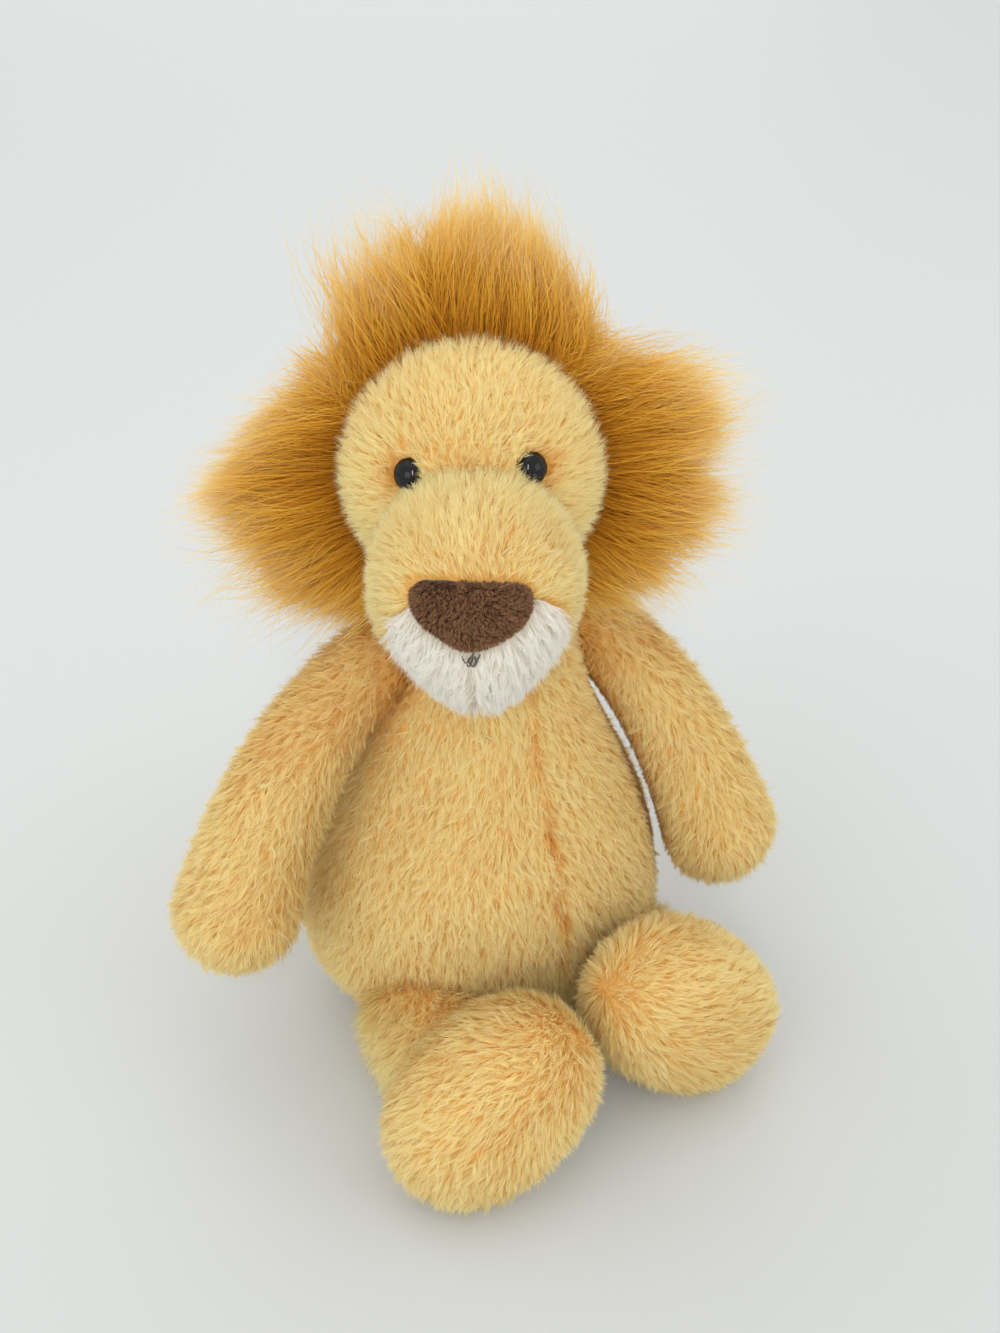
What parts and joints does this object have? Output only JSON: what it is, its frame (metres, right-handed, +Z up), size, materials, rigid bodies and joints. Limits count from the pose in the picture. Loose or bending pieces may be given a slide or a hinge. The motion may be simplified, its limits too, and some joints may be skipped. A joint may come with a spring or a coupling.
{
  "type": "stuffed toy lion",
  "caption": "Seated stuffed lion with a long mane, drooping snout, bead eyes, swinging arms and legs, and a head that turns and nods.",
  "frame": {"origin": "middle of the flat of the seat, on the surface that the lion sits on", "axes": "+Z up through the head, -Y out of the chest, +X towards the lion's own left"},
  "size_m": [0.1775, 0.2017, 0.2391],
  "materials": {
    "body_plush": "golden pile with pale tips",
    "mane_pile": "long pile, orange roots and near white tips",
    "chin_plush": "short white pile",
    "nose_velour": "short brown velour",
    "eye_plastic": "glossy black",
    "washer_plastic": "natural white, hidden",
    "stitch_thread": "dark thread",
    "polyester_fibre": "white fibre filling, hidden",
    "pouch_cotton": "woven cotton, hidden"
  },
  "bodies": {
    "torso": {"torso_cover": "body_plush", "torso_stuffing": "polyester_fibre", "bean_pouch": "pouch_cotton"},
    "neck": {"neck_stuffing": "polyester_fibre"},
    "head": {"head_cover": "body_plush", "head_stuffing": "polyester_fibre", "muzzle_cover": "body_plush", "chin_cover": "chin_plush", "muzzle_stuffing": "polyester_fibre", "nose_patch": "nose_velour", "mouth_stitch": "stitch_thread", "eye_left": "eye_plastic", "eye_right": "eye_plastic", "eye_washer_left": "washer_plastic", "eye_washer_right": "washer_plastic", "mane": "mane_pile"},
    "arm_left": {"arm_left_cover": "body_plush", "arm_left_stuffing": "polyester_fibre"},
    "arm_right": {"arm_right_cover": "body_plush", "arm_right_stuffing": "polyester_fibre"},
    "leg_left": {"leg_left_cover": "body_plush", "leg_left_stuffing": "polyester_fibre", "foot_left_cover": "body_plush", "foot_left_stuffing": "polyester_fibre"},
    "leg_right": {"leg_right_cover": "body_plush", "leg_right_stuffing": "polyester_fibre", "foot_right_cover": "body_plush", "foot_right_stuffing": "polyester_fibre"},
    "tail": {"tail_cord": "body_plush", "tail_tuft": "mane_pile"}
  },
  "joints": [
    {"name": "neck_turn", "type": "hinge", "parent": "torso", "child": "neck", "pos_m": [0, 0, 0.142], "axis": [0, 0, 1], "range_deg": [-16, 64]},
    {"name": "neck_nod", "type": "hinge", "parent": "neck", "child": "head", "pos_m": [0, 0, 0.142], "axis": [0.9135, -0.4067, 0], "range_deg": [-25, 8]},
    {"name": "shoulder_left", "type": "hinge", "parent": "torso", "child": "arm_left", "pos_m": [0.02474, 0, 0.12479], "axis": [0.9848, 0, 0.1736], "range_deg": [-50, 30]},
    {"name": "shoulder_right", "type": "hinge", "parent": "torso", "child": "arm_right", "pos_m": [-0.02474, 0, 0.12479], "axis": [0.9848, 0, -0.1736], "range_deg": [-50, 30]},
    {"name": "hip_left", "type": "hinge", "parent": "torso", "child": "leg_left", "pos_m": [0.0315, -0.034, 0.016], "axis": [1, 0, 0], "range_deg": [0, 90]},
    {"name": "hip_right", "type": "hinge", "parent": "torso", "child": "leg_right", "pos_m": [-0.0315, -0.034, 0.016], "axis": [1, 0, 0], "range_deg": [0, 90]},
    {"name": "tail_swing", "type": "hinge", "parent": "torso", "child": "tail", "pos_m": [0, 0.04703, 0.0115], "axis": [0, 0, 1], "range_deg": [-60, 60]}
  ]
}
